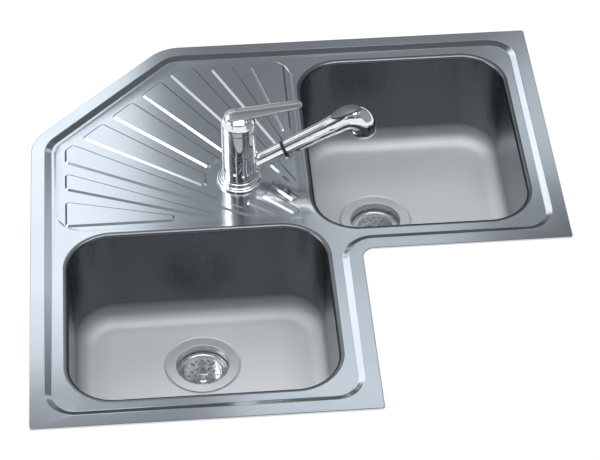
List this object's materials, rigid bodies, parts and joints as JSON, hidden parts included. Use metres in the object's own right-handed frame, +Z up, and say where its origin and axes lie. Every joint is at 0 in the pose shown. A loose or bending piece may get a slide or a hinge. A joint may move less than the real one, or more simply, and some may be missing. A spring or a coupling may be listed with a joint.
{
  "type": "corner kitchen sink with pull-out spray tap",
  "caption": "L-shaped pressed steel corner sink with bowls either side of a ribbed drainer, strainer wastes, clips and a lever tap with a swinging spout and pull-out spray handset.",
  "frame": {"origin": "inner corner of the L on the worktop plane, at the underside of the rim seal", "axes": "+X to the right along one arm, +Y to the back along the other, +Z up out of the worktop"},
  "size_m": [0.83, 0.83, 0.4083],
  "materials": {
    "deck_steel": "satin",
    "bowl_steel": "satin",
    "polished_steel": "polished",
    "chrome": "polished",
    "cast_brass": "satin",
    "zinc_steel": "satin",
    "satin_grey": "satin",
    "black_plastic": "satin",
    "white_plastic": "satin",
    "grey_plastic": "matte",
    "black_rubber": "matte",
    "grey_foam": "matte",
    "damping_felt": "matte",
    "chromed_plastic": "polished"
  },
  "bodies": {
    "sink": {"sink_deck": "deck_steel", "rim_seal": "grey_foam", "clip_rails": "zinc_steel", "clip_hooks": "zinc_steel", "clip_screws": "zinc_steel", "tap_gasket": "black_rubber", "tap_base_ring": "chrome", "tap_body": "chrome", "swivel_bush_lower": "black_plastic", "swivel_bush_upper": "black_plastic", "cartridge": "white_plastic", "cartridge_nut": "cast_brass", "cap_ring": "chrome", "stabiliser_pad": "black_plastic", "horseshoe_plate": "zinc_steel", "fixing_stud": "zinc_steel", "stud_nut": "cast_brass", "left_bowl": "bowl_steel", "left_sound_pad": "damping_felt", "left_strainer_flange": "polished_steel", "left_flange_gasket": "black_rubber", "left_waste_gasket": "black_rubber", "left_waste_body": "white_plastic", "left_waste_nut": "cast_brass", "left_waste_screw": "polished_steel", "right_bowl": "bowl_steel", "right_sound_pad": "damping_felt", "right_strainer_flange": "polished_steel", "right_flange_gasket": "black_rubber", "right_waste_gasket": "black_rubber", "right_waste_body": "white_plastic", "right_waste_nut": "cast_brass", "right_waste_screw": "polished_steel"},
    "spout": {"spout_sleeve": "chrome", "spout_seam_ring": "black_plastic"},
    "handset": {"handset_shell": "chromed_plastic", "rocker_pin": "zinc_steel", "hose_nut": "cast_brass", "spray_hose": "black_rubber", "handset_waterway": "white_plastic", "diverter_block": "white_plastic", "nozzle_ring": "black_plastic", "nozzle_face": "black_rubber"},
    "rocker": {"spray_rocker": "satin_grey"},
    "turret": {"stem_carrier": "white_plastic", "pivot_pin": "zinc_steel", "dome_cap": "chrome"},
    "lever_arm": {"lever": "chrome", "cartridge_stem": "cast_brass", "lever_screw": "zinc_steel", "lever_plug": "black_plastic"},
    "left_basket_body": {"left_basket": "polished_steel", "left_basket_stopper": "black_rubber", "left_basket_post": "chrome"},
    "right_basket_body": {"right_basket": "polished_steel", "right_basket_stopper": "black_rubber", "right_basket_post": "chrome"}
  },
  "joints": [
    {"name": "spout_swivel", "type": "hinge", "parent": "sink", "child": "spout", "pos_m": [-0.17699, 0.17699, 0.0113], "axis": [0, 0, 1], "range_deg": [-152, 48]},
    {"name": "handset_pull", "type": "slide", "parent": "spout", "child": "handset", "axis": [0.8996, 0.1105, 0.4226], "range_m": [0, 0.08]},
    {"name": "spray_rocker_tilt", "type": "hinge", "parent": "handset", "child": "rocker", "pos_m": [-0.00777, 0.19777, 0.10544], "axis": [-0.1219, 0.9925, 0], "range_deg": [-3, 3]},
    {"name": "lever_turn", "type": "hinge", "parent": "sink", "child": "turret", "pos_m": [-0.17699, 0.17699, 0.0981], "axis": [0, 0, 1], "range_deg": [-50, 50]},
    {"name": "lever_lift", "type": "hinge", "parent": "turret", "child": "lever_arm", "pos_m": [-0.17699, 0.17699, 0.0981], "axis": [0.1219, -0.9925, 0], "range_deg": [0, 20]},
    {"name": "left_basket_lift", "type": "slide", "parent": "sink", "child": "left_basket_body", "axis": [0, 0, 1], "range_m": [0, 0.235]},
    {"name": "right_basket_lift", "type": "slide", "parent": "sink", "child": "right_basket_body", "axis": [0, 0, 1], "range_m": [0, 0.235]}
  ]
}
